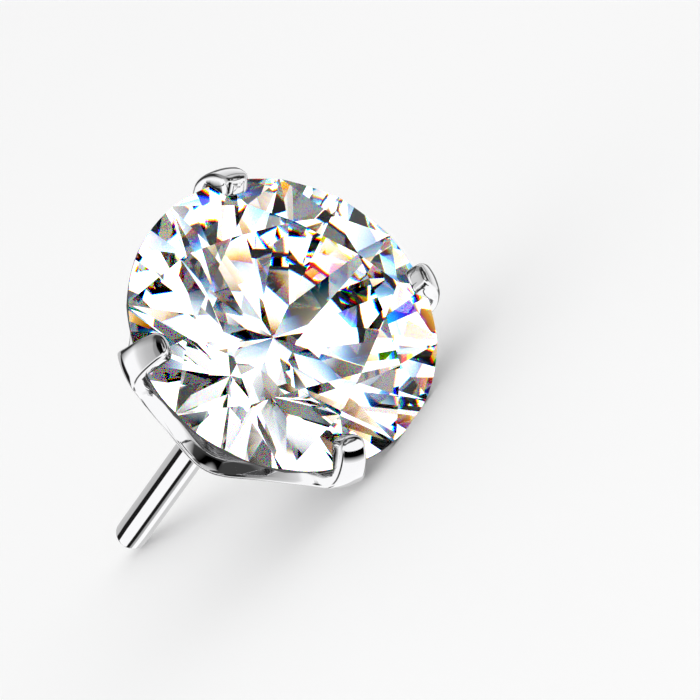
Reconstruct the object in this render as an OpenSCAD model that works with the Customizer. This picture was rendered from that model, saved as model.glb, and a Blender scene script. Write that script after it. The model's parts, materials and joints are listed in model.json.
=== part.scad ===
// Threadless piercing end: a round cut stone in a four-prong cup, on a plain straight pin.
// Sizes are in millimetres. It lies on its side, as it does when it is put down:
// a flat of the stone's rim and the end of the pin touch the table, just clear of one prong.
// The head is drawn upright first: the stone's table faces +Z, its girdle is at Z = 0,
// the prongs stand at 0, 90, 180 and 270 degrees, and the pin runs down along -Z.

/* [Stone] */
// Diameter of the stone, across the corners of its girdle
stone_d = 5.04; // [4.96:0.02:5.06]
// Width of the table, as a share of the diameter
table_share = 0.575; // [0.54:0.005:0.62]
// Height of the crown, from the girdle to the table
crown_h = 0.64; // [0.56:0.02:0.7]
// How far the star facets reach from the table towards the girdle, as a share
star_share = 0.44; // [0.4:0.01:0.55]
// Thickness of the girdle
girdle_t = 0.1; // [0.06:0.01:0.14]
// Depth of the pavilion, from the girdle to its point
pavilion_h = 2.17; // [2.05:0.01:2.22]
// How far the lower halves reach from the girdle towards the point, as a share
lower_half_share = 0.78; // [0.7:0.01:0.85]

/* [Setting] */
// Radius over the outside of the prongs
prong_reach = 2.74; // [2.72:0.01:2.85]
// Thickness of the metal
wall_t = 0.28; // [0.26:0.01:0.32]
// Width of a prong at its shoulder
prong_w = 0.5; // [0.44:0.02:0.6]
// Width of a claw at its end
claw_w = 0.4; // [0.36:0.02:0.44]
// Radius of the curve in which a claw folds over the crown, along its middle
claw_bend_r = 0.8; // [0.7:0.02:0.9]
// How far round that curve the claw goes, in degrees
claw_bend = 50; // [44:1:54]
// Distance from the girdle plane back to the shoulder of a prong
shoulder_drop = 0.22; // [0.2:0.01:0.26]
// Slope of the cup's side, in degrees from the pin's line
cup_slope = 31; // [28:1:34]
// Distance from the girdle plane to the back of the cup
cup_h = 2.66; // [2.62:0.01:2.8]
// Radius of the flat on the back of the cup
back_flat_r = 0.5; // [0.46:0.01:0.6]
// Radius of the curve between a prong and the cup's rim
flare_r = 1.46; // [1.4:0.01:1.55]
// Distance from the girdle plane to the bottom of the cup's rim between two prongs
rim_drop = 1.47; // [1.4:0.01:1.5]

/* [Pin] */
// Diameter of the pin
pin_d = 0.54; // [0.5:0.01:0.56]
// Distance from the girdle plane to the end of the pin
pin_end = 8.2; // [7.5:0.1:9]
// Width of the pin's square root, which is pressed into the cup
root_w = 0.3; // [0.26:0.01:0.34]
// Radius of the rounding on the end of the pin
pin_round = 0.1; // [0.06:0.01:0.14]
// Radius of the collar round the pin's root, where it meets the cup
collar_r = 0.42; // [0.4:0.01:0.46]
// Height of that collar
collar_h = 0.13; // [0.1:0.01:0.16]

/* [Hidden] */
$fn = 96;

// Clearances: stone to metal, and pin to its hole and to the collar's end
stone_gap = 0.02;
hole_gap = 0.01;
// Room for cuts, larger than any piece of the head
beyond = 4;

// Stone
stone_r = stone_d / 2;
table_r = stone_r * table_share;
half_step = 22.5;
star_r = table_r * cos(half_step) + star_share * (stone_r - table_r * cos(half_step));
star_z = crown_h * (stone_r - star_r * cos(half_step)) / (stone_r - table_r);
point_z = -girdle_t - pavilion_h;
lower_r = stone_r * (1 - lower_half_share);
lower_z = point_z + pavilion_h * lower_r * cos(half_step) / stone_r;

// Setting: middles of its bends, in the plane [distance from the pin's line, height]
shoulder = [prong_reach - wall_t / 2, -shoulder_drop];
side_out = [cos(cup_slope), -sin(cup_slope)];
heel_r = (cos(cup_slope) * (shoulder[0] - back_flat_r)
    - sin(cup_slope) * (shoulder[1] + cup_h) + wall_t / 2) / (1 - sin(cup_slope));
heel = [back_flat_r, heel_r - cup_h];
side_foot = heel + (heel_r - wall_t / 2) * side_out;
claw_mid = [shoulder[0] - claw_bend_r, shoulder[1]];
claw_end = claw_mid + claw_bend_r * [cos(claw_bend), sin(claw_bend)];
collar_end_r = (pin_d / 2 + collar_r) / 2;
flare_z = -0.1;
flare_y = prong_w / 2 + flare_r;
claw_round_z = claw_end[1] - 0.06;

// Pin
pin_r = pin_d / 2;
hole_w = root_w + 2 * hole_gap;
root_top = wall_t - cup_h - stone_gap;
pin_shoulder = -cup_h - collar_h - hole_gap;

// Lying on the table: the head is rolled onto a flat of the girdle between two of its
// corners, or further if the shoulder of a prong would be lower, and tilted until the
// pin's end is as low. Depths are measured below the pin's line, square to it, and
// drops are measured below it plumb.
function girdle_depth(roll) =
    stone_r * max(cos(roll - half_step), cos(roll - 2 * half_step));
function tilt(roll) =
    let (over = girdle_depth(roll) - pin_r + pin_round, along = pin_end - pin_round - girdle_t)
    acos(pin_round / norm([over, along])) - atan(along / over);
function girdle_drop(roll) =
    girdle_depth(roll) * cos(tilt(roll)) + girdle_t * sin(tilt(roll));
function prong_half_w(z) = flare_y - sqrt(flare_r ^ 2 - (z - flare_z) ^ 2);
function prong_drop(roll) =
    let (
        lean = tilt(roll),
        half_w = prong_half_w(-shoulder_drop - wall_t / 2 * sin(lean)),
        corner_at = roll - asin(half_w / prong_reach),
        outwards = cos(corner_at) * cos(lean)
    )
    shoulder[0] * outwards + shoulder_drop * sin(lean) + wall_t / 2 * norm([outwards, sin(lean)]);
function even_roll(low, high, steps) =
    let (middle = (low + high) / 2)
    steps == 0 ? middle
    : prong_drop(middle) > girdle_drop(middle) ? even_roll(middle, high, steps - 1)
    : even_roll(low, middle, steps - 1);
flat_roll = 1.5 * half_step;
rest_roll = prong_drop(flat_roll) > girdle_drop(flat_roll)
    ? even_roll(flat_roll, 2 * half_step, 20)
    : flat_roll;
rest_tilt = tilt(rest_roll);
rest_lift = girdle_drop(rest_roll);
low_prong = 90;

// Middle of the whole length, so that the origin is under it
front_x = claw_end[0] * cos(rest_roll) * sin(rest_tilt) + claw_end[1] * cos(rest_tilt) + wall_t / 2;
back_x = -(pin_r - pin_round) * sin(rest_tilt) - (pin_end - pin_round) * cos(rest_tilt) - pin_round;

function polar(r, angle, z) = [r * cos(angle), r * sin(angle), z];

// Lays the upright head and pin on the table
module at_rest() {
    translate([-(front_x + back_x) / 2, 0, rest_lift])
        rotate([0, 90 - rest_tilt, 0])
            rotate([0, 0, -low_prong - rest_roll])
                children();
}

// Round brilliant: a table, 8 stars, 8 kites and 16 upper halves above a 16-sided girdle,
// 16 lower halves and 8 mains below it. The prongs stand where two upper halves meet.
module brilliant() {
    first_kite = half_step;
    table = [for (k = [0:7]) polar(table_r, first_kite + 45 * k, crown_h)];
    star = [for (k = [0:7]) polar(star_r, first_kite + 45 * k + half_step, star_z)];
    upper = [for (j = [0:15]) polar(stone_r, first_kite + half_step * j, 0)];
    lower = [for (j = [0:15]) polar(stone_r, first_kite + half_step * j, -girdle_t)];
    inner = [for (k = [0:7]) polar(lower_r, first_kite + 45 * k + half_step, lower_z)];
    point = [[0, 0, point_z]];
    // Number of the first point in each ring
    t = 0;
    s = 8;
    u = 16;
    l = 32;
    i = 48;
    p = 56;
    polyhedron(
        points = concat(table, star, upper, lower, inner, point),
        faces = concat(
            [[for (k = [7:-1:0]) t + k]],
            [for (k = [0:7]) [t + k, t + (k + 1) % 8, s + k]],
            [for (k = [0:7]) [t + k, s + k, u + 2 * k, s + (k + 7) % 8]],
            [for (k = [0:7]) [s + k, u + 2 * k + 1, u + 2 * k]],
            [for (k = [0:7]) [s + k, u + (2 * k + 2) % 16, u + 2 * k + 1]],
            [for (j = [0:15]) [u + j, u + (j + 1) % 16, l + (j + 1) % 16, l + j]],
            [for (k = [0:7]) [i + k, l + 2 * k, l + 2 * k + 1]],
            [for (k = [0:7]) [i + k, l + 2 * k + 1, l + (2 * k + 2) % 16]],
            [for (k = [0:7]) [p, i + (k + 7) % 8, l + 2 * k, i + k]]
        )
    );
}

// Points along an arc in the plane, without its first one
function arc(centre, r, from, to, steps) = [
    for (k = [1:steps])
        let (angle = from + (to - from) * k / steps)
        centre + r * [cos(angle), sin(angle)]
];

// Section of the metal from the collar and the back of the cup to the end of a claw.
// The claw is full down to the crown that it holds.
module wall_section() {
    half_t = wall_t / 2;
    polygon(concat(
        [
            [hole_w / 4, -cup_h - collar_h],
            [collar_end_r, -cup_h - collar_h],
            [collar_r, -cup_h],
            [back_flat_r, -cup_h]
        ],
        arc(heel, heel_r, -90, -cup_slope, 12),
        [shoulder + half_t * side_out],
        arc(shoulder, half_t, -cup_slope, 0, 4),
        arc(claw_mid, claw_bend_r + half_t, 0, claw_bend, 8),
        arc(claw_end, half_t, claw_bend, 180, 8),
        [
            [claw_end[0] - half_t, 0],
            shoulder - half_t * side_out,
            side_foot - half_t * side_out
        ],
        arc(heel, heel_r - wall_t, -cup_slope, -90, 12),
        [[hole_w / 4, wall_t - cup_h]]
    ));
}

// Outline of two opposite prongs and their foot on the cup, seen along the prongs
module prong_outline() {
    polygon(concat(
        [[prong_w / 2, flare_z]],
        arc([0, claw_round_z], claw_w / 2, -15, 195, 14),
        [[-prong_w / 2, flare_z]],
        arc([-flare_y, flare_z], flare_r, 0, -90, 15),
        [
            [-flare_y, -cup_h - beyond],
            [flare_y, -cup_h - beyond],
            [flare_y, flare_z - flare_r]
        ],
        arc([flare_y, flare_z], flare_r, 270, 180, 15)
    ));
}

// Room for the stone in the metal
module stone_seat() {
    rotate_extrude()
        polygon([
            [0, point_z - stone_gap],
            [lower_r + stone_gap, lower_z - stone_gap],
            [stone_r + stone_gap, -girdle_t - stone_gap],
            [stone_r + stone_gap, stone_gap / 2],
            [star_r + stone_gap, star_z + stone_gap],
            [0, star_z + stone_gap]
        ]);
}

module stone() {
    color("aliceblue")
        at_rest()
            brilliant();
}

// Four-prong cup, one piece of metal with a square hole for the pin's root
module setting() {
    color("silver")
        at_rest()
            difference() {
                intersection() {
                    rotate_extrude()
                        wall_section();
                    union() {
                        for (turn = [0, 90])
                            rotate([90, 0, 90 + turn])
                                linear_extrude(2 * beyond, center = true)
                                    prong_outline();
                        translate([0, 0, -rim_drop - beyond])
                            cylinder(r = beyond, h = beyond);
                    }
                }
                stone_seat();
                cube([hole_w, hole_w, 4 * beyond], center = true);
            }
}

// Plain straight wire with a square root in the cup, rounded at its free end
module pin() {
    foot = pin_shoulder - root_w;
    color("gainsboro")
        at_rest() {
            rotate_extrude()
                polygon(concat(
                    [
                        [0, pin_shoulder],
                        [0, -pin_end],
                        [pin_r - pin_round, -pin_end]
                    ],
                    arc([pin_r - pin_round, pin_round - pin_end], pin_round, -90, 0, 6),
                    [[pin_r, pin_shoulder]]
                ));
            translate([-root_w / 2, -root_w / 2, foot])
                cube([root_w, root_w, root_top - foot]);
        }
}

stone();
setting();
pin();
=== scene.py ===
"""Looks of a threadless piercing end: a round cut stone in a four-prong cup, on a pin."""

import json
import math

import bmesh
import bpy
import numpy as np
from bpy.props import FloatProperty, FloatVectorProperty, IntProperty, PointerProperty
from mathutils import Matrix, Vector


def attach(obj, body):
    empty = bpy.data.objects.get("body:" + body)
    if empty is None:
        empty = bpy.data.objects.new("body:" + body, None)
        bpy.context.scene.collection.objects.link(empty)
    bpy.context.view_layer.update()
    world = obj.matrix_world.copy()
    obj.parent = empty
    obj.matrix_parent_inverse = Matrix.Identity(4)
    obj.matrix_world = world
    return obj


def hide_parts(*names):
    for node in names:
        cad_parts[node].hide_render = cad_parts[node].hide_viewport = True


bl_info = {
    "name": "Threadless piercing end",
    "version": (1, 0, 0),
    "blender": (4, 5, 0),
    "location": "3D view > Sidebar > Piercing end",
    "description": "Builds a round cut stone in a four-prong cup on a plain pin",
    "category": "Add Mesh",
}

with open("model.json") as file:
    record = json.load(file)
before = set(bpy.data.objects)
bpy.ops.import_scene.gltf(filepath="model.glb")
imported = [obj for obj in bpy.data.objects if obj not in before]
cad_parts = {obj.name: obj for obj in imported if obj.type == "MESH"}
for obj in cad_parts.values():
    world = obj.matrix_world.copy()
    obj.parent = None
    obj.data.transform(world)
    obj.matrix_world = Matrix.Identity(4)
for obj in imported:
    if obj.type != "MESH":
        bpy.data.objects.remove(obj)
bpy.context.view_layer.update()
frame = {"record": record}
MM = 0.001
# From the mount, half way along the pin's straight wall, to the girdle, in millimetres
MOUNT_TO_GIRDLE = 5.45
# The turn round the pin's line that lays a flat of the girdle on the table, in degrees
REST_ROLL = 33.75


def laid_down():
    """Turns the upright head, stone's table up and girdle at height 0, into the way it lies."""
    mount = next(m for m in frame["record"]["mounts"] if m["name"] == "pin_end")
    pin_line = -Vector(mount["axis"]).normalized()
    tilt = math.asin(pin_line.z)
    origin = Vector(mount["pos_m"]) + pin_line * MOUNT_TO_GIRDLE * MM
    lean = Matrix.Rotation(math.radians(90) - tilt, 4, "Y")
    roll = Matrix.Rotation(math.radians(-90 - REST_ROLL), 4, "Z")
    return Matrix.Translation(origin) @ lean @ roll


AT_REST = laid_down()

# Brightness that the metal shows, by angle in degrees. The turn goes round the pin's line from
# the near side down; apart is the angle away from the way the pin points.
PIN_BANDS = ((-180, 0.5), (-85, 0.5), (-82, 0.01), (-48, 0.01), (-45, 1), (23, 1), (26, 0.01),
             (46, 0.01), (50, 0.35), (64, 0.45), (68, 1), (98, 1), (104, 0.6), (180, 0.5))
APART_BANDS = ((0, 1), (138, 1), (142, 0.15), (155, 0.1), (160, 0.6), (180, 0.6))
# Each other sector: how strongly it counts by turn, and its brightness by the angle apart
SECTORS = (
    (((-180, 0), (-132, 0), (-122, 1), (-14, 1), (0, 0), (180, 0)),
     ((0, 1), (74, 1), (84, 0.7), (100, 0.55), (116, 0.48), (118, 0.32), (128, 0.28), (130, 0),
      (151, 0), (153, 0.7), (158, 0.7), (161, 0), (180, 0))),
    (((-180, 0), (-14, 0), (0, 1), (82, 1), (91, 0), (180, 0)),
     ((0, 1), (140, 1), (144, 0.1), (155, 0.1), (160, 0.8), (180, 0.8))),
    (((-180, 1), (-132, 1), (-122, 0), (115, 0), (128, 1), (180, 1)),
     ((0, 0.1), (54, 0.1), (60, 0.9), (75, 0.75), (88, 0.6), (92, 0.15), (97, 0.6), (112, 0.6),
      (118, 0.06), (135, 0.03), (142, 0), (150, 0), (156, 0.5), (180, 0.6))),
    (((-180, 0), (-130, 0), (-122, 1), (-80, 1), (-64, 0), (180, 0)),
     ((0, 0.05), (66, 0.03), (78, 0.3), (110, 0.3), (120, 0.05), (180, 0.05))),
    (((-180, 0), (2, 0), (10, 1), (30, 1), (42, 0), (180, 0)),
     ((0, 1), (50, 1), (56, 0.15), (70, 0.02), (110, 0), (112, 1), (140, 1), (144, 0.1),
      (155, 0.1), (160, 0.8), (180, 0.8))),
)
# Brightness of the light tent that the stone shows, by the angle from the camera's direction
TENT_BANDS = ((0, 0.1), (8, 0.1), (12, 1), (19, 1), (23, 0.02), (26, 0.02), (30, 1), (37, 0.85),
              (41, 0), (44, 0), (48, 1), (53, 0.85), (56, 0), (61, 0), (64, 1), (68, 0.9),
              (71, 0), (76, 0), (79, 1), (88, 0.9), (91, 0), (100, 0), (103, 1), (119, 0.9),
              (122, 0), (136, 0), (139, 0.9), (180, 0.8))
# The angle apart up to which the metal shows the pin's bands
PIN_EDGE = 42
# The angle between neighbouring corners of the stone's rim, in degrees
STEP = 22.5
# How strongly the stone bends red, green and blue light, and how its outside mirrors
STONE_IORS = (2.151, 2.165, 2.18)
MIRROR_IOR = 1.22
# Half the width of the floor in metres
FLOOR_HALF = 0.6
# Small cards close to the part that only the metal shows: middle in millimetres, turn in
# degrees, width, length, width over which one side fades, and brightness
CARDS = {
    "black_card": ((5.9, -2.1, -1.98), (156.5, -23.2, 23.7), 0.62, 5, 0.7, 0),
    "white_card": ((2.448, -1.845, 2.162), (-148.7, 0, -63.3), 0.36, 0.5, 0, 1.35),
}


class StoneSizes(bpy.types.PropertyGroup):
    """Sizes of the stone."""

    diameter: FloatProperty(
        name="Diameter", description="Across the corners of the girdle",
        default=5.04 * MM, precision=5, unit="LENGTH")
    table_share: FloatProperty(
        name="Table", description="Width of the table as a share of the diameter",
        default=0.575, min=0.5, max=0.65)
    crown_height: FloatProperty(
        name="Crown height", description="From the girdle to the table",
        default=0.64 * MM, precision=5, unit="LENGTH")
    star_share: FloatProperty(
        name="Star length", description="How far the stars reach from the table to the girdle",
        default=0.44, min=0.3, max=0.6)
    girdle: FloatProperty(
        name="Girdle", description="Thickness of the girdle",
        default=0.1 * MM, precision=5, unit="LENGTH")
    pavilion_depth: FloatProperty(
        name="Pavilion depth", description="From the girdle to the point",
        default=2.17 * MM, precision=5, unit="LENGTH")
    girdle_radius: FloatProperty(
        name="Girdle radius", description="Of the round girdle between the facets",
        default=2.508 * MM, precision=6, unit="LENGTH")
    lower_half_share: FloatProperty(
        name="Lower halves", description="How far they reach from the girdle to the point",
        default=0.78, min=0.6, max=0.9)


class SettingSizes(bpy.types.PropertyGroup):
    """Sizes of the cup and its prongs."""

    reach: FloatProperty(
        name="Reach", description="Radius over the outside of the prongs",
        default=2.74 * MM, precision=5, unit="LENGTH")
    wall: FloatProperty(
        name="Wall", description="Thickness of the metal",
        default=0.28 * MM, precision=5, unit="LENGTH")
    prong_width: FloatProperty(
        name="Prong width", description="At the shoulder",
        default=0.57 * MM, precision=5, unit="LENGTH")
    claw_width: FloatProperty(
        name="Claw width", description="Before the claw's rounded end",
        default=0.44 * MM, precision=5, unit="LENGTH")
    shoulder_width: FloatProperty(
        name="Shoulder", description="How much wider each side of a prong is under the shoulder",
        default=0.05 * MM, precision=6, unit="LENGTH")
    edge_round: FloatProperty(
        name="Edge rounding", description="Radius of the polished outer edges",
        default=0.07 * MM, precision=6, unit="LENGTH")
    inner_round: FloatProperty(
        name="Inner rounding", description="Radius of the edges beside the stone",
        default=0.04 * MM, precision=6, unit="LENGTH")
    polish: IntProperty(
        name="Polish", description="How often the surface is smoothed", default=3, min=0, max=30)
    pillow: FloatProperty(
        name="Pillow", description="How much a prong's outside stands up along its middle",
        default=0.015 * MM, precision=6, unit="LENGTH")
    valley_bulge: FloatProperty(
        name="Valley bulge", description="How far the cup stands out between the prongs",
        default=0.08 * MM, precision=6, unit="LENGTH")
    valley_dip: FloatProperty(
        name="Valley dip", description="How far the rim dips further there",
        default=0.1 * MM, precision=6, unit="LENGTH")
    height: FloatProperty(
        name="Height", description="From the girdle to the back of the cup",
        default=2.66 * MM, precision=5, unit="LENGTH")
    slope: FloatProperty(
        name="Slope", description="Of the cup's side, from the pin's line",
        default=math.radians(31), subtype="ANGLE")
    valley: FloatProperty(
        name="Rim depth", description="From the girdle to the rim between two prongs",
        default=1.5 * MM, precision=5, unit="LENGTH")


class PinSizes(bpy.types.PropertyGroup):
    """Sizes of the pin."""

    diameter: FloatProperty(
        name="Diameter", description="Of the straight wire",
        default=0.54 * MM, precision=5, unit="LENGTH")
    end: FloatProperty(
        name="End", description="From the girdle to the pin's end",
        default=8.2 * MM, precision=5, unit="LENGTH")
    root: FloatProperty(
        name="Root", description="Width of the square root in the cup",
        default=0.3 * MM, precision=5, unit="LENGTH")
    end_round: FloatProperty(
        name="End rounding", description="Radius of the rounding on the end",
        default=0.1 * MM, precision=5, unit="LENGTH")


class StudioSettings(bpy.types.PropertyGroup):
    """Colours, light and camera."""

    metal_colour: FloatVectorProperty(
        name="Metal", description="Colour of the polished metal",
        default=(0.72, 0.72, 0.73), subtype="COLOR", min=0, max=1)
    floor_colour: FloatVectorProperty(
        name="Floor", description="Colour of the floor",
        default=(0.93, 0.93, 0.93), subtype="COLOR", min=0, max=1)
    light: FloatProperty(
        name="Light", description="Strength of the soft light all round",
        default=1.38, min=0, max=5)
    cards: FloatProperty(
        name="Cards", description="Strength of the cards that the metal shows",
        default=1.35, min=0, max=5)
    tent: FloatProperty(
        name="Tent", description="Strength of the light tent that the stone shows",
        default=1.8, min=0, max=5)
    tent_radius: FloatProperty(
        name="Tent radius", description="Of the light tent round the stone",
        default=25 * MM, unit="LENGTH")
    spokes: IntProperty(
        name="Spokes", description="How many times the edge of a tent panel goes in and out",
        default=9, min=0, max=30)
    spoke_depth: FloatProperty(
        name="Spoke depth", description="How far it does so, in degrees",
        default=8, min=0, max=30)
    fold_depth: FloatProperty(
        name="Fold depth", description="How far the tent's folds shift the panels, in degrees",
        default=18, min=0, max=60)
    azimuth: FloatProperty(
        name="Azimuth", description="Of the camera", default=math.radians(56.936),
        subtype="ANGLE")
    elevation: FloatProperty(
        name="Elevation", description="Of the camera above the floor",
        default=math.radians(13.004), subtype="ANGLE")
    roll: FloatProperty(
        name="Roll", description="Of the camera about its own line of sight",
        default=math.radians(44.974), subtype="ANGLE")
    distance: FloatProperty(
        name="Distance", description="From the camera to the point that it looks at",
        default=100 * MM, unit="LENGTH")
    target: FloatVectorProperty(
        name="Target", description="The point that the camera looks at",
        default=(3.8889 * MM, 0.2334 * MM, 1.4176 * MM), precision=6, subtype="TRANSLATION")
    lens: FloatProperty(
        name="Lens", description="Focal length in millimetres, on a 36 mm sensor",
        default=332.793)


def placed(name, data):
    """An object with this name and data, linked to the scene."""
    thing = bpy.data.objects.new(name, data)
    bpy.context.scene.collection.objects.link(thing)
    return thing


def new_piece(name, verts, faces, material, slot, smooth):
    """A mesh object from points of the upright head, laid down, riding on the part."""
    mesh = bpy.data.meshes.new(name)
    mesh.from_pydata([tuple(v) for v in verts], [], faces)
    bm = bmesh.new()
    bm.from_mesh(mesh)
    bmesh.ops.remove_doubles(bm, verts=bm.verts, dist=2e-8)
    bmesh.ops.recalc_face_normals(bm, faces=bm.faces)
    for face in bm.faces:
        face.smooth = smooth
    bm.transform(AT_REST)
    bm.to_mesh(mesh)
    bm.free()
    mesh.materials.append(material)
    piece = placed(name, mesh)
    # Light in the stone passes the metal by, because its reflections would streak the facets
    piece.visible_transmission = slot == "stone"
    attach(piece, "root")
    return piece


def cos_sin(angle):
    """Cosine and sine of an angle in degrees."""
    return math.cos(math.radians(angle)), math.sin(math.radians(angle))


def polar(r, angle, z):
    """A point at an angle in degrees round the pin's line."""
    c, sn = cos_sin(angle)
    return (r * c, r * sn, z)


def arc(centre, r, start, end, steps):
    """Points along an arc in the plane, ends included; angles in degrees."""
    angles = np.radians(np.linspace(start, end, steps + 1))
    return [(centre[0] + r * math.cos(a), centre[1] + r * math.sin(a)) for a in angles]


def new_material(name):
    """A material with its nodes and links."""
    material = bpy.data.materials.new(name)
    material.use_nodes = True
    return material, material.node_tree.nodes, material.node_tree.links


def light_material(name):
    """A material without a surface of its own, for a tent or card that gives light."""
    material, nodes, links = new_material(name)
    material.cycles.emission_sampling = "NONE"
    nodes.remove(nodes["Principled BSDF"])
    return material, nodes, links


def set_inputs(node, **values):
    """A node with values on its inputs; an underline stands for the space in a name."""
    for name, value in values.items():
        node.inputs[name.replace("_", " ")].default_value = value
    return node


def maths(nodes, links, operation, *values):
    """One maths node on numbers or sockets."""
    node = nodes.new("ShaderNodeMath")
    node.operation = operation
    for k, value in enumerate(values):
        if isinstance(value, (int, float)):
            node.inputs[k].default_value = value
        else:
            links.new(value, node.inputs[k])
    return node.outputs[0]


def mixed(nodes, links, share, first, second):
    """The first shader where the share is 0, the second where it is 1."""
    mix = nodes.new("ShaderNodeMixShader")
    for k, value in enumerate((share, first, second)):
        links.new(value, mix.inputs[k])
    return mix.outputs[0]


def polish_marks():
    """Node group: the faint cloudiness and fine lines that polishing leaves."""
    group = bpy.data.node_groups.new("polish_marks", "ShaderNodeTree")
    for name, kind, value in (
        ("Colour", "NodeSocketColor", (0.9, 0.9, 0.9, 1)),
        ("Variation", "NodeSocketFloat", 0.05),
        ("Haze", "NodeSocketFloat", 0.03),
        ("Haze Variation", "NodeSocketFloat", 0.03),
    ):
        made = group.interface.new_socket(name=name, in_out="INPUT", socket_type=kind)
        made.default_value = value
    group.interface.new_socket(name="Tint", in_out="OUTPUT", socket_type="NodeSocketColor")
    for name in ("Roughness", "Height"):
        group.interface.new_socket(name=name, in_out="OUTPUT", socket_type="NodeSocketFloat")
    nodes, links = group.nodes, group.links
    given = nodes.new("NodeGroupInput")
    result = nodes.new("NodeGroupOutput")
    place = nodes.new("ShaderNodeTexCoord")
    cloud = set_inputs(nodes.new("ShaderNodeTexNoise"), Scale=900, Detail=3)
    stretch = set_inputs(nodes.new("ShaderNodeMapping"), Scale=(1500, 1500, 60000))
    lines = set_inputs(nodes.new("ShaderNodeTexNoise"), Scale=1, Detail=4)
    links.new(place.outputs["Object"], cloud.inputs["Vector"])
    links.new(place.outputs["Object"], stretch.inputs["Vector"])
    links.new(stretch.outputs["Vector"], lines.inputs["Vector"])
    darker = maths(nodes, links, "MULTIPLY", cloud.outputs["Fac"], given.outputs["Variation"])
    keep = maths(nodes, links, "SUBTRACT", 1, darker)
    tint = nodes.new("ShaderNodeVectorMath")
    tint.operation = "SCALE"
    links.new(given.outputs["Colour"], tint.inputs[0])
    links.new(keep, tint.inputs["Scale"])
    links.new(tint.outputs[0], result.inputs["Tint"])
    haze = maths(nodes, links, "MULTIPLY_ADD", lines.outputs["Fac"],
                 given.outputs["Haze Variation"], given.outputs["Haze"])
    links.new(haze, result.inputs["Roughness"])
    links.new(lines.outputs["Fac"], result.inputs["Height"])
    return group


def marks_node(material, **values):
    """The one polish_marks group, placed in a material with its own values."""
    node = material.node_tree.nodes.new("ShaderNodeGroup")
    node.node_tree = bpy.data.node_groups.get("polish_marks") or polish_marks()
    return set_inputs(node, **values)


def polished_metal(name, colour, haze, line_depth):
    """Mirror polished metal with faint polishing lines."""
    material, nodes, links = new_material(name)
    surface = nodes["Principled BSDF"]
    surface.inputs["Metallic"].default_value = 1
    group = marks_node(
        material, Colour=(*colour, 1), Variation=0.06, Haze=haze, Haze_Variation=0.05)
    bump = set_inputs(nodes.new("ShaderNodeBump"), Strength=line_depth, Distance=0.002 * MM)
    links.new(group.outputs["Tint"], surface.inputs["Base Color"])
    links.new(group.outputs["Roughness"], surface.inputs["Roughness"])
    links.new(group.outputs["Height"], bump.inputs["Height"])
    links.new(bump.outputs["Normal"], surface.inputs["Normal"])
    return material


def cut_stone(name):
    """Clear stone that splits white light where the eye's ray enters it."""
    material, nodes, links = new_material(name)
    group = marks_node(
        material, Colour=(1, 1, 1, 1), Variation=0.012, Haze=0, Haze_Variation=0)
    clear = nodes["Principled BSDF"]
    clear.inputs["Metallic"].default_value = 0
    clear.inputs["Roughness"].default_value = 0
    clear.inputs["IOR"].default_value = STONE_IORS[1]
    clear.inputs["Transmission Weight"].default_value = 1
    links.new(group.outputs["Tint"], clear.inputs["Base Color"])
    shares = []
    for colour, ior in zip(((1, 0, 0), (0, 1, 0), (0, 0, 1)), STONE_IORS):
        shares.append(set_inputs(
            nodes.new("ShaderNodeBsdfRefraction"), Color=(*colour, 1), Roughness=0, IOR=ior))
    two = nodes.new("ShaderNodeAddShader")
    three = nodes.new("ShaderNodeAddShader")
    links.new(shares[0].outputs[0], two.inputs[0])
    links.new(shares[1].outputs[0], two.inputs[1])
    links.new(two.outputs[0], three.inputs[0])
    links.new(shares[2].outputs[0], three.inputs[1])
    gloss = set_inputs(nodes.new("ShaderNodeBsdfGlossy"), Roughness=0)
    fresnel = set_inputs(nodes.new("ShaderNodeFresnel"), IOR=MIRROR_IOR)
    entering = mixed(nodes, links, fresnel.outputs[0], three.outputs[0], gloss.outputs[0])
    path = nodes.new("ShaderNodeLightPath")
    inside = maths(nodes, links, "GREATER_THAN", path.outputs["Ray Depth"], 0.5)
    seen = mixed(nodes, links, inside, entering, clear.outputs[0])
    # Rays that come from the metal pass straight through, so that it shows the cards alone
    sides = nodes.new("ShaderNodeNewGeometry")
    outside = maths(
        nodes, links, "SUBTRACT", path.outputs["Is Glossy Ray"], sides.outputs["Backfacing"])
    passing = maths(nodes, links, "ADD", outside, path.outputs["Transparent Depth"])
    outside.node.use_clamp = passing.node.use_clamp = True
    through = nodes.new("ShaderNodeBsdfTransparent")
    last = mixed(nodes, links, passing, seen, through.outputs[0])
    links.new(last, nodes["Material Output"].inputs["Surface"])
    return material


def ground_girdle(name):
    """The stone's unpolished edge: grey, matt and finely grained."""
    material, nodes, links = new_material(name)
    surface = nodes["Principled BSDF"]
    group = marks_node(
        material, Colour=(0.05, 0.05, 0.055, 1), Variation=0.5, Haze=0.5, Haze_Variation=0.2)
    links.new(group.outputs["Tint"], surface.inputs["Base Color"])
    links.new(group.outputs["Roughness"], surface.inputs["Roughness"])
    return material


def ring(r, z, places):
    """Corners of the stone at a radius and a height, at these places round it."""
    return [Vector(polar(r, STEP * k, z)) for k in places]


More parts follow.
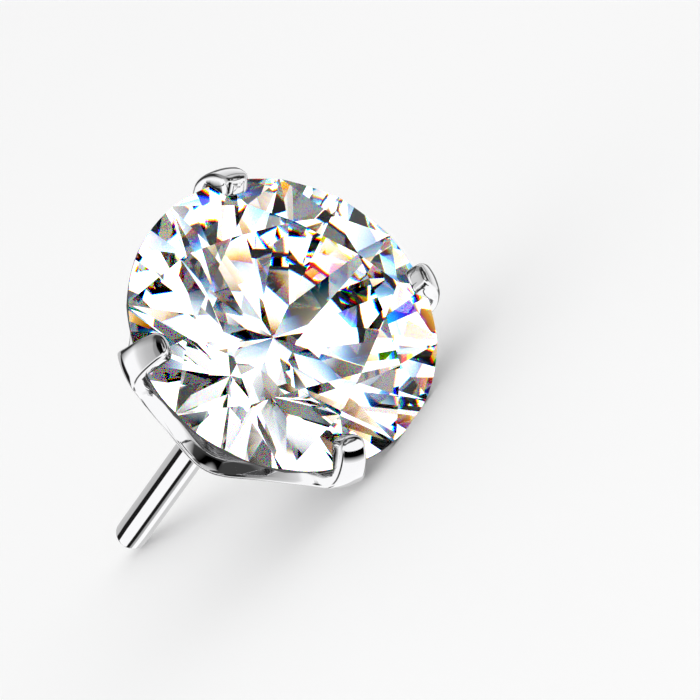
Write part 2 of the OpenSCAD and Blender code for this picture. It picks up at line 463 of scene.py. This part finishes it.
def facet_planes(sizes):
    """Each facet of the round brilliant as a point and an outward direction."""
    r = sizes.diameter / 2
    table_r = r * sizes.table_share
    cos_step = cos_sin(STEP)[0]
    star_r = table_r * cos_step + sizes.star_share * (r - table_r * cos_step)
    star_z = sizes.crown_height * (r - star_r * cos_step) / (r - table_r)
    point = Vector((0, 0, -sizes.girdle - sizes.pavilion_depth))
    lower_r = r * (1 - sizes.lower_half_share)
    lower_z = point.z + sizes.pavilion_depth * lower_r * cos_step / r
    # A point inside the stone, to tell which way is outward
    heart = Vector((0, 0, -0.3 * MM))
    planes = [(Vector((0, 0, sizes.crown_height)), Vector((0, 0, 1)))]
    for kite in range(1, 17, 2):
        table = ring(table_r, sizes.crown_height, (kite, kite + 2))
        stars = ring(star_r, star_z, (kite + 1, kite - 1))
        upper = ring(r, 0, range(kite, kite + 3))
        lower = ring(r, -sizes.girdle, range(kite, kite + 3))
        inner = ring(lower_r, lower_z, (kite + 1, kite - 1))
        for a, b, c in (
            (table[0], stars[0], table[1]),
            (stars[0], table[0], stars[1]),
            (stars[0], upper[0], upper[1]),
            (stars[0], upper[1], upper[2]),
            (inner[0], lower[1], lower[0]),
            (inner[0], lower[2], lower[1]),
            (point, inner[0], inner[1]),
        ):
            normal = (b - a).cross(c - a).normalized()
            if normal.dot(a - heart) < 0:
                normal.negate()
            planes.append((a, normal))
    return planes


def brilliant(sizes):
    """Points and flat facets of the brilliant: a round blank, cut along each plane."""
    bm = bmesh.new()
    bmesh.ops.create_cone(
        bm, cap_ends=True, segments=96, radius1=sizes.girdle_radius,
        radius2=sizes.girdle_radius, depth=8 * MM)
    for point, normal in facet_planes(sizes):
        geometry = bm.verts[:] + bm.edges[:] + bm.faces[:]
        cut = bmesh.ops.bisect_plane(
            bm, geom=geometry, dist=1e-9, plane_co=point, plane_no=normal, clear_outer=True)
        edges = [item for item in cut["geom_cut"] if isinstance(item, bmesh.types.BMEdge)]
        if edges:
            bmesh.ops.contextual_create(bm, geom=edges)
    bmesh.ops.remove_doubles(bm, verts=bm.verts, dist=1e-7)
    bm.verts.index_update()
    verts = [vert.co.copy() for vert in bm.verts]
    faces = [[vert.index for vert in face.verts] for face in bm.faces]
    bm.free()
    return verts, faces


def lathe(profile, segments):
    """Points and faces of a profile turned round the pin's line, closed at both ends.

    Each point of the profile is (radius, height), or (half width, height, "square")."""
    verts, faces = [], []
    for r, z, *square in profile:
        for k in range(segments):
            angle = math.radians(360 * k / segments)
            wide = max(abs(math.cos(angle)), abs(math.sin(angle))) if square else 1
            verts.append((r / wide * math.cos(angle), r / wide * math.sin(angle), z))
    for row in range(len(profile) - 1):
        for k in range(segments):
            a, b = row * segments + k, row * segments + (k + 1) % segments
            faces.append([a, b, b + segments, a + segments])
    faces.append(list(range(segments)))
    faces.append([(len(profile) - 1) * segments + k for k in range(segments)])
    return verts, faces


class SettingShape:
    """The cup: one quarter with a prong in its middle, turned four times."""

    # Faces across a quarter, round an edge, up the rim and up a claw
    columns = 28
    edge_steps = 5
    rim_steps = 28
    claw_steps = 8
    # From the middle of a prong to the middle between two, in degrees
    valley_at = 45
    # Half the pin's hole, and the radius of the flat back
    hole = 0.16 * MM
    back_flat = 0.5 * MM
    # From the girdle to the shoulder, and to where the rim curves away from a prong
    shoulder_drop = 0.22 * MM
    neck_drop = 0.1 * MM
    # The claw's curve, how far it goes in degrees, and the corners of its end
    claw_r = 0.8 * MM
    claw_bend = 60
    claw_corner = 0.19 * MM
    # Least and greatest depth of a claw
    claw_depths = (0.12 * MM, 0.33 * MM)
    # Room round the stone and over its crown, where its underside starts, and how fast
    # that widens
    stone_room = 0.02 * MM
    crown_room = 0.01 * MM
    underside_drop = 0.12 * MM
    underside_slope = 1.15
    # How much steeper the edge under a claw is than a kite
    edge_to_kite = 1.2
    # Heights and greatest thickness of the metal there, both in millimetres
    thick_heights = (-1.4, -0.9, -0.4, -0.1)
    thickest = (0.33, 0.31, 0.28, 0.18)
    # Where a prong is widest and over what height, in millimetres
    widest_at = -0.35
    widest_spread = 0.22
    # Heights in millimetres where a prong's middle stands up and where the cup swells
    # between two prongs, and how much it draws in beside them
    pillow_heights = (-1.1, -0.3)
    swell_heights = (-2.5, -1.9, -1.2, -0.6)
    draw_in = 0.7

    def __init__(self, sizes, stone):
        """Works out the bends of the section from the sizes."""
        self.sizes = sizes
        # Places across a quarter, from one side to the other
        self.shares = [2 * k / self.columns - 1 for k in range(self.columns + 1)]
        self.half_wall = sizes.wall / 2
        self.shoulder = np.array((sizes.reach - self.half_wall, -self.shoulder_drop))
        self.side = np.array((math.cos(sizes.slope), -math.sin(sizes.slope)))
        self.down = np.array((-math.sin(sizes.slope), -math.cos(sizes.slope)))
        self.heel_r = (
            self.side[0] * (self.shoulder[0] - self.back_flat)
            + self.side[1] * (self.shoulder[1] + sizes.height)
            + self.half_wall
        ) / (1 + self.side[1])
        self.heel = np.array((self.back_flat, self.heel_r - sizes.height))
        self.claw_mid = self.shoulder - (self.claw_r, 0)
        self.seat_r = stone.diameter / 2 + self.stone_room
        self.crown_slope = stone.crown_height / (stone.diameter / 2 * (1 - stone.table_share))
        self.crown_slope *= self.edge_to_kite
        self.outer = self.outer_path()

    def outer_path(self):
        """The outside of the section as close points, from the back to the end of a claw."""
        out = self.half_wall
        points = arc(self.heel, self.heel_r, -90, -math.degrees(self.sizes.slope), 160)
        foot = np.array(points[-1])
        top = self.shoulder + out * self.side
        points += [tuple(foot + (top - foot) * k / 80) for k in range(1, 80)]
        points += arc(self.shoulder, out, -math.degrees(self.sizes.slope), 0, 24)
        points += arc(self.claw_mid, self.claw_r + out, 0, self.claw_bend, 120)[1:]
        points = np.array(points)
        steps = np.linalg.norm(np.diff(points, axis=0), axis=1)
        self.length = np.r_[0, np.cumsum(steps)]
        return points

    def at(self, s):
        """The outside's point at a distance along it."""
        return np.array([np.interp(s, self.length, self.outer[:, k]) for k in (0, 1)])

    def distance_at_height(self, z):
        """How far along the outside a height is."""
        return float(np.interp(z, self.outer[:, 1], self.length))

    def inner_at_height(self, z):
        """Radius of the inside of the cup at a height, clear of the stone and thin at the top."""
        inner_r = self.heel_r - self.sizes.wall
        dz = z - self.heel[1]
        line = self.shoulder - self.half_wall * self.side
        foot = self.heel + inner_r * self.side
        if z < foot[1]:
            r = self.heel[0] + math.sqrt(max(inner_r**2 - dz**2, 0))
        else:
            r = line[0] + self.down[0] / self.down[1] * (z - line[1])
        pavilion = self.seat_r + (z + self.underside_drop) * self.underside_slope
        outer_r = self.at(self.distance_at_height(z))[0]
        thick = np.interp(z / MM, self.thick_heights, self.thickest) * MM
        r = max(min(r, self.shoulder[0] - self.half_wall), outer_r - thick)
        return max(r, min(pavilion, self.seat_r))

    def inner_of_claw(self, s):
        """The point of the crown under a claw's outside point."""
        point = self.at(s)
        out = point - self.claw_mid
        out /= np.linalg.norm(out)
        rise = point[1] - self.crown_room - (self.seat_r - point[0]) * self.crown_slope
        depth = rise / (out[1] + out[0] * self.crown_slope)
        least, most = self.claw_depths
        return point - out * min(max(depth, least), most)

    def rim(self):
        """Stations up one side of the prong, from the middle of the valley to the claw's end.

        Each is (distance along the outside, outer angle, inner point, inner angle, rounding,
        and the direction into the metal: (sideways, along))."""
        half = self.sizes.prong_width / 2
        claw_half = self.sizes.claw_width / 2
        neck = -self.neck_drop
        a_neck = math.degrees(math.asin(half / self.sizes.reach))
        i_neck = math.degrees(math.asin(half / self.seat_r))
        stations = []
        for turn in np.linspace(90, 0, self.rim_steps + 1):
            c, sn = cos_sin(turn)
            height = neck - (neck + self.sizes.valley) * sn
            s = self.distance_at_height(height)
            outer_r = self.at(s)[0]
            inner_r = self.inner_at_height(height)
            off = (height / MM - self.widest_at) / self.widest_spread
            wider = self.sizes.shoulder_width * math.exp(-(off**2))
            a = a_neck + (self.valley_at - a_neck) * (1 - c) + math.degrees(wider / outer_r)
            i = i_neck + (self.valley_at - i_neck) * (1 - c) + math.degrees(wider / inner_r)
            along = (neck + self.sizes.valley) * c
            across = outer_r * math.radians(self.valley_at - a_neck) * sn
            size = math.hypot(along, across) or 1
            stations.append((s, a, (inner_r, height), i, self.sizes.edge_round,
                             (-along / size, -across / size)))
        start = stations[-1][0]
        end = self.length[-1]
        corner = self.claw_corner
        for k in np.linspace(0, 1, self.claw_steps + 1)[1:]:
            s = start + (end - corner - start) * k
            width = half + (claw_half - half) * k
            stations.append(self.claw_station(s, width, (-1, 0)))
        for turn in np.linspace(0, 90, self.claw_steps + 1)[1:]:
            c, sn = cos_sin(turn)
            s = end - corner + corner * sn
            width = claw_half - corner + corner * c
            stations.append(self.claw_station(s, width, (-c, -sn)))
        return stations

    def claw_station(self, s, width, into):
        """A station on the edge of the claw."""
        outer_r = self.at(s)[0]
        inner = self.inner_of_claw(s)
        return (s, math.degrees(math.asin(width / outer_r)), tuple(inner),
                math.degrees(math.asin(width / inner[0])), self.sizes.edge_round, into)

    def edge(self, station, side):
        """Points across the metal's edge at a station, from the outside to the inside."""
        s, a, inner, i, rounding, (sideways, along) = station
        corner = np.array(polar(self.at(s)[0], side * a, self.at(s)[1]))
        start_s = s + rounding * along
        r, z = self.at(start_s)
        start = np.array(polar(r, side * (a + math.degrees(rounding * sideways / r)), z))
        far = np.array(polar(inner[0], side * i, inner[1]))
        through = far - corner
        through /= np.linalg.norm(through)
        into = start - corner
        small = self.sizes.inner_round
        points = []
        for turn in np.linspace(0, 90, self.edge_steps + 1):
            c, sn = cos_sin(turn)
            points.append(corner + into * (1 - sn) + through * rounding * (1 - c))
        for turn in np.linspace(90, 0, self.edge_steps + 1):
            c, sn = cos_sin(turn)
            points.append(far + into * (1 - sn) * small / rounding - through * small * (1 - c))
        return points

    def quarter(self):
        """Rows of points: the outside, the inside, and the edge between them, of one quarter."""
        stations = self.rim()
        left = [self.edge(station, -1) for station in stations]
        right = [self.edge(station, 1) for station in stations]
        outside, inside = [], []
        # The collar and the back: radius and height in millimetres
        back = [(0.3, -2.79), (0.33, -2.787), (0.345, -2.775), (0.42, -2.675), (0.43, -2.664),
                (0.45, -2.66)]
        s, _, _, _, rounding, (_, along) = stations[0]
        start_s = s + rounding * along
        rows = [(r * MM, z * MM) for r, z in back]
        rows += [tuple(self.at(s)) for s in np.linspace(0, start_s, 34)[:-1]]
        turns = [self.valley_at * share for share in self.shares]
        square = [self.hole / cos_sin(a)[0] for a in turns]
        outside.append([polar(r, a, rows[0][1]) for r, a in zip(square, turns)])
        for r, z in rows:
            outside.append([polar(r, a, z) for a in turns])
        for station, first, last in zip(stations, left, right):
            outside.append(self.across(first[0], last[0], self.raised(station)))
        floor = -self.sizes.height + self.sizes.wall
        inner_r = self.heel_r - self.sizes.wall
        inside.append([polar(r, a, floor) for r, a in zip(square, turns)])
        rows = [(0.35 * MM, floor)]
        inner_start = np.array(right[0][-1])
        low = math.degrees(math.asin((inner_start[2] - self.heel[1]) / inner_r))
        rows += arc(self.heel, inner_r, -90, low, 24)[:-1]
        for r, z in rows:
            inside.append([polar(r, a, z) for a in turns])
        for first, last in zip(left, right):
            inside.append(self.across(first[-1], last[-1]))
        s, a, inner, i, rounding, _ = stations[-1]
        tip = []
        for share in self.shares:
            station = (s, a * abs(share), inner, i * abs(share), rounding, (0, -1))
            tip.append(self.edge(station, -1 if share < 0 else 1))
        outside[-1] = [points[0] for points in tip]
        inside[-1] = [points[-1] for points in tip]
        return outside, inside, left[:-1] + tip + right[-2::-1]

    def raised(self, station):
        """How far the middle of a row stands up: outwards and upwards."""
        s = station[0]
        nudge, fade = 0.01 * MM, 0.2 * MM
        ahead, behind = self.at(s + nudge), self.at(s - nudge)
        along = (ahead - behind) / np.linalg.norm(ahead - behind)
        share = np.interp(self.at(s)[1] / MM, self.pillow_heights, (0, 1))
        share *= math.sqrt(max(0, min(1, (self.length[-1] - s) / fade)))
        return np.array((along[1], -along[0])) * share * self.sizes.pillow

    def across(self, first, last, lift=(0, 0)):
        """A row between two points that are at one height, round the pin's line."""
        a = math.degrees(math.atan2(last[1], last[0]))
        r = math.hypot(last[0], last[1])
        row = []
        for share in self.shares:
            rise = 1 - share * share
            row.append(polar(r + lift[0] * rise, a * share, last[2] + lift[1] * rise))
        return row

    def squared(self, point):
        """Moves a point of the cup out and down where it is between two prongs."""
        turn = math.atan2(point[1], point[0])
        between = (1 - math.cos(4 * turn)) / 2
        share = between**3 - self.draw_in * between * (1 - between)
        share *= np.interp(point[2] / MM, self.swell_heights, (0, 1, 1, 0))
        r = max(math.hypot(point[0], point[1]), self.back_flat)
        out = 1 + share * self.sizes.valley_bulge / r
        return Vector((point[0] * out, point[1] * out, point[2] - share * self.sizes.valley_dip))

    def mesh(self):
        """Points and faces of the whole setting."""
        verts, faces = [], []
        outside, inside, edge = self.quarter()
        for turn in range(4):
            spin = Matrix.Rotation(math.radians(90 * turn), 3, "Z")
            for grid in (outside, inside, edge, (outside[0], inside[0])):
                base, width = len(verts), len(grid[0])
                for row in grid:
                    verts += [spin @ self.squared(point) for point in row]
                for j in range(len(grid) - 1):
                    for k in range(width - 1):
                        a = base + j * width + k
                        faces.append([a, a + 1, a + width + 1, a + width])
        return verts, faces


class PIERCING_OT_stone(bpy.types.Operator):
    """Builds the cut stone"""

    bl_idname = "piercing.stone"
    bl_label = "Cut stone"

    def execute(self, context):
        sizes = context.scene.piercing_stone
        verts, faces = brilliant(sizes)
        piece = new_piece("cut_stone", verts, faces, cut_stone("clear_stone"), "stone", False)
        piece.data.materials.append(ground_girdle("ground_girdle"))
        # The girdle's faces look square to the line through the stone, to within this share
        square = 0.01
        line = AT_REST.to_3x3() @ Vector((0, 0, 1))
        for face in piece.data.polygons:
            face.material_index = int(abs(face.normal.dot(line)) < square)
        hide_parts("stone")
        return {"FINISHED"}


class PIERCING_OT_setting(bpy.types.Operator):
    """Builds the four-prong cup"""

    bl_idname = "piercing.setting"
    bl_label = "Four-prong cup"

    def execute(self, context):
        scene = context.scene
        verts, faces = SettingShape(scene.piercing_setting, scene.piercing_stone).mesh()
        colour = scene.piercing_studio.metal_colour
        metal = polished_metal("cup_metal", colour, haze=0.02, line_depth=0.01)
        piece = new_piece("prong_cup", verts, faces, metal, "metal", True)
        polish = piece.modifiers.new("polish", "SMOOTH")
        polish.factor = 0.5
        polish.iterations = scene.piercing_setting.polish
        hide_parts("setting")
        return {"FINISHED"}


class PIERCING_OT_pin(bpy.types.Operator):
    """Builds the straight pin"""

    bl_idname = "piercing.pin"
    bl_label = "Straight pin"

    def execute(self, context):
        sizes = context.scene.piercing_pin
        r, end, rounding = sizes.diameter / 2, -sizes.end, sizes.end_round
        # Heights of the top of the square root and of the shoulder under it
        root, root_top, shoulder = sizes.root / 2, -2.4 * MM, -2.8 * MM
        # Bevel on the root's top, and rounding of the shoulder
        bevel, soft = 0.02 * MM, 0.015 * MM
        wall = end + rounding - shoulder
        profile = [(root - bevel, root_top, "square"), (root, root_top - bevel, "square")]
        profile += [(root, -2.6 * MM, "square"), (root, shoulder, "square")]
        profile += arc((r - soft, shoulder - soft), soft, 90, 0, 4)
        profile += [(r, shoulder + wall * k / 12) for k in range(1, 12)]
        profile += arc((r - rounding, end + rounding), rounding, 0, -84, 10)
        profile += [(0.1 * MM, end + 0.0005 * MM), (0.02 * MM, end)]
        verts, faces = lathe(profile, 72)
        colour = context.scene.piercing_studio.metal_colour
        metal = polished_metal("pin_metal", colour, haze=0.03, line_depth=0.03)
        piece = new_piece("straight_pin", verts, faces, metal, "metal", True)
        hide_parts("pin")
        return {"FINISHED"}


def floor_material(colour):
    """Pale matt floor with a trace of gloss and unevenness."""
    material, nodes, links = new_material("pale_floor")
    surface = nodes["Principled BSDF"]
    noise = set_inputs(nodes.new("ShaderNodeTexNoise"), Scale=40)
    ramp = set_inputs(nodes.new("ShaderNodeMapRange"), To_Min=0.5, To_Max=0.56)
    surface.inputs["Base Color"].default_value = (*colour, 1)
    links.new(noise.outputs["Fac"], ramp.inputs["Value"])
    links.new(ramp.outputs["Result"], surface.inputs["Roughness"])
    return material


class Pattern:
    """Maths nodes that turn a direction into brightness."""

    def __init__(self, tree, direction):
        """Works in a node tree on the socket that gives the direction."""
        self.nodes, self.links = tree.nodes, tree.links
        self.direction = direction

    def maths(self, operation, *values):
        """One maths node on numbers or sockets."""
        return maths(self.nodes, self.links, operation, *values)

    def toward(self, axis):
        """How far the direction points along an axis, from -1 to 1."""
        node = self.nodes.new("ShaderNodeVectorMath")
        node.operation = "DOT_PRODUCT"
        node.inputs[1].default_value = axis
        self.links.new(self.direction, node.inputs[0])
        return node.outputs["Value"]

    def away(self, axis):
        """The angle in degrees between the direction and an axis."""
        return self.maths("MULTIPLY", self.maths("ARCCOSINE", self.toward(axis)), 180 / math.pi)

    def round(self, first, second):
        """The angle in degrees round two axes, from the first toward the second."""
        angle = self.maths("ARCTAN2", self.toward(second), self.toward(first))
        return self.maths("MULTIPLY", angle, 180 / math.pi)

    def bands(self, angle, stops):
        """Brightness along an angle: stops are (angle in degrees, brightness)."""
        node = self.nodes.new("ShaderNodeValToRGB")
        elements = node.color_ramp.elements
        low, high = stops[0][0], stops[-1][0]
        share = self.maths("DIVIDE", self.maths("SUBTRACT", angle, low), high - low)
        self.links.new(share, node.inputs["Fac"])
        points = [((at - low) / (high - low), value) for at, value in stops]
        for element, (position, value) in zip(elements, (points[0], points[-1])):
            element.position, element.color = position, (value, value, value, 1)
        for position, value in points[1:-1]:
            elements.new(position).color = (value, value, value, 1)
        return node.outputs["Color"]

    def choose(self, mask, first, second):
        """The first colour where the mask is 0, the second where it is 1."""
        node = self.nodes.new("ShaderNodeMix")
        node.data_type = "RGBA"
        self.links.new(mask, node.inputs["Factor"])
        # By number, because the sockets for numbers and colours share their names
        self.links.new(first, node.inputs[6])
        self.links.new(second, node.inputs[7])
        return node.outputs[2]

    def above(self, angle, limit, soft=2):
        """A mask that goes from 0 to 1 round a limit."""
        node = set_inputs(
            self.nodes.new("ShaderNodeMapRange"), From_Min=limit - soft, From_Max=limit + soft)
        self.links.new(angle, node.inputs["Value"])
        return node.outputs["Result"]


def toward_eye(settings):
    """The direction from the part to the camera."""
    a, e = settings.azimuth, settings.elevation
    return Vector((math.sin(a) * math.cos(e), -math.cos(a) * math.cos(e), math.sin(e)))


def studio_world(settings):
    """Soft white light from all sides, with cards and gaps that only polished metal shows."""
    world = bpy.data.worlds.new("studio")
    bpy.context.scene.world = world
    world.use_nodes = True
    nodes, links = world.node_tree.nodes, world.node_tree.links
    nodes.clear()
    out = nodes.new("ShaderNodeOutputWorld")
    place = nodes.new("ShaderNodeTexCoord")
    plain = set_inputs(nodes.new("ShaderNodeBackground"), Strength=settings.light)
    cards = set_inputs(nodes.new("ShaderNodeBackground"), Strength=settings.cards)
    pattern = Pattern(world.node_tree, place.outputs["Generated"])
    tip = AT_REST.to_3x3() @ Vector((0, 0, -1))
    near = Vector((0, -1, 0))
    apart = pattern.away(tip)
    turn = pattern.round(near, near.cross(tip))
    shown = pattern.bands(apart, APART_BANDS)
    for by_turn, by_angle in SECTORS:
        mask, sector = pattern.bands(turn, by_turn), pattern.bands(apart, by_angle)
        shown = pattern.choose(mask, shown, sector)
    shown = pattern.choose(pattern.above(apart, PIN_EDGE), pattern.bands(turn, PIN_BANDS), shown)
    links.new(shown, cards.inputs["Color"])
    path = nodes.new("ShaderNodeLightPath")
    light = mixed(
        nodes, links, path.outputs["Is Glossy Ray"], plain.outputs[0], cards.outputs[0])
    links.new(light, out.inputs["Surface"])


def tent_material(settings):
    """White panels with gaps round the camera's line of sight, their edges drawn into folds."""
    material, nodes, links = light_material("tent_cloth")
    place = nodes.new("ShaderNodeTexCoord")
    unit = nodes.new("ShaderNodeVectorMath")
    unit.operation = "NORMALIZE"
    links.new(place.outputs["Object"], unit.inputs[0])
    pattern = Pattern(material.node_tree, unit.outputs[0])
    eye = toward_eye(settings)
    side = Vector((0, 0, 1)).cross(eye).normalized()
    away = pattern.away(eye)
    turn = pattern.round(side, eye.cross(side))
    phase = pattern.maths("MULTIPLY", turn, settings.spokes * math.pi / 180)
    spokes = pattern.maths("SINE", phase)
    folds = set_inputs(nodes.new("ShaderNodeTexNoise"), Scale=3, Detail=2)
    links.new(unit.outputs[0], folds.inputs["Vector"])
    shift = pattern.maths("MULTIPLY", spokes, settings.spoke_depth)
    fold = pattern.maths("SUBTRACT", folds.outputs["Fac"], 0.5)
    shift = pattern.maths("ADD", shift, pattern.maths("MULTIPLY", fold, settings.fold_depth * 2))
    panels = set_inputs(nodes.new("ShaderNodeEmission"), Strength=settings.tent)
    links.new(pattern.bands(pattern.maths("ADD", away, shift), TENT_BANDS), panels.inputs["Color"])
    links.new(panels.outputs[0], nodes["Material Output"].inputs["Surface"])
    return material


def seen_by(thing, camera=False, diffuse=False, glossy=False, transmission=False, shadow=False):
    """Sets which kinds of rays meet a thing of the stage."""
    thing.visible_camera = camera
    thing.visible_diffuse = diffuse
    thing.visible_glossy = glossy
    thing.visible_transmission = transmission
    thing.visible_shadow = shadow


def flat_sheet(name, left, right, half):
    """The mesh of a flat sheet: its left and right edges, and half its length."""
    mesh = bpy.data.meshes.new(name)
    mesh.from_pydata(
        [(left, -half, 0), (right, -half, 0), (right, half, 0), (left, half, 0)], [],
        [[0, 1, 2, 3]])
    return mesh


def light_tent(settings):
    """A round tent about the stone that only light going through the stone meets."""
    mesh = bpy.data.meshes.new("light_tent")
    bm = bmesh.new()
    bmesh.ops.create_icosphere(bm, subdivisions=5, radius=settings.tent_radius)
    bm.to_mesh(mesh)
    bm.free()
    mesh.materials.append(tent_material(settings))
    tent = placed("light_tent", mesh)
    tent.location = AT_REST.translation
    seen_by(tent, transmission=True)


def card_material(name, width, soft, brightness):
    """Evenly bright or black, fading out to nothing over one side."""
    material, nodes, links = light_material(name)
    place = nodes.new("ShaderNodeTexCoord")
    split = nodes.new("ShaderNodeSeparateXYZ")
    links.new(place.outputs["Object"], split.inputs[0])
    side, soft = -width / 2, max(soft, 0.001 * MM)
    fade = set_inputs(nodes.new("ShaderNodeMapRange"), From_Min=side - soft, From_Max=side)
    links.new(split.outputs["X"], fade.inputs["Value"])
    shown = set_inputs(nodes.new("ShaderNodeEmission"), Strength=brightness)
    nothing = nodes.new("ShaderNodeBsdfTransparent")
    faded = mixed(nodes, links, fade.outputs["Result"], nothing.outputs[0], shown.outputs[0])
    links.new(faded, nodes["Material Output"].inputs["Surface"])
    return material


def card(name, middle, turn, width, length, soft, brightness):
    """A small card close to the part, which only the polished metal shows."""
    width, length, soft = width * MM, length * MM, soft * MM
    mesh = flat_sheet(name, -width / 2 - soft, width / 2, length / 2)
    mesh.materials.append(card_material(name, width, soft, brightness))
    piece = placed(name, mesh)
    piece.location = Vector(middle) * MM
    piece.rotation_euler = [math.radians(angle) for angle in turn]
    seen_by(piece, glossy=True)


class PIERCING_OT_stage(bpy.types.Operator):
    """Sets the floor, the light and the camera"""

    bl_idname = "piercing.stage"
    bl_label = "Floor, light and camera"

    def execute(self, context):
        settings = context.scene.piercing_studio
        mesh = flat_sheet("floor", -FLOOR_HALF, FLOOR_HALF, FLOOR_HALF)
        mesh.materials.append(floor_material(settings.floor_colour))
        floor = placed("floor", mesh)
        seen_by(floor, camera=True, diffuse=True, shadow=True)
        studio_world(settings)
        light_tent(settings)
        for name, values in CARDS.items():
            card(name, *values)
        back = toward_eye(settings)
        camera = placed("camera", bpy.data.cameras.new("camera"))
        camera.location = Vector(settings.target) + back * settings.distance
        look = (-back).to_track_quat("-Z", "Y").to_matrix().to_4x4()
        turn = Matrix.Rotation(-settings.roll, 4, "Z")
        camera.rotation_euler = (look @ turn).to_euler()
        camera.data.lens = settings.lens
        camera.data.sensor_width = 36
        camera.data.clip_start = 0.001
        camera.data.clip_end = 10
        context.scene.camera = camera
        context.scene.view_settings.view_transform = "Standard"
        context.scene.cycles.max_bounces = 32
        context.scene.cycles.transmission_bounces = 32
        context.scene.cycles.glossy_bounces = 12
        return {"FINISHED"}


class PIERCING_PT_panel(bpy.types.Panel):
    """Lists the pieces and their sizes"""

    bl_idname = "PIERCING_PT_panel"
    bl_label = "Piercing end"
    bl_space_type = "VIEW_3D"
    bl_region_type = "UI"
    bl_category = "Piercing end"

    def draw(self, context):
        for operator, group, _ in STEPS:
            column = self.layout.column(align=True)
            settings = getattr(context.scene, group)
            for name in settings.bl_rna.properties.keys():
                if name not in ("rna_type", "name"):
                    column.prop(settings, name)
            column.operator(operator.bl_idname)


STEPS = (
    (PIERCING_OT_stone, "piercing_stone", StoneSizes),
    (PIERCING_OT_setting, "piercing_setting", SettingSizes),
    (PIERCING_OT_pin, "piercing_pin", PinSizes),
    (PIERCING_OT_stage, "piercing_studio", StudioSettings),
)
CLASSES = (*(step[2] for step in STEPS), *(step[0] for step in STEPS), PIERCING_PT_panel)


def register():
    """Registers the classes and hangs their settings on the scene."""
    for cls in CLASSES:
        bpy.utils.register_class(cls)
    for _, name, group in STEPS:
        setattr(bpy.types.Scene, name, PointerProperty(type=group))


def unregister():
    """Takes the settings and classes away again."""
    for _, name, _ in STEPS:
        delattr(bpy.types.Scene, name)
    for cls in reversed(CLASSES):
        bpy.utils.unregister_class(cls)


def main():
    """Builds everything in order."""
    register()
    bpy.ops.piercing.stone()
    bpy.ops.piercing.setting()
    bpy.ops.piercing.pin()
    bpy.ops.piercing.stage()


if __name__ == "__main__":
    main()
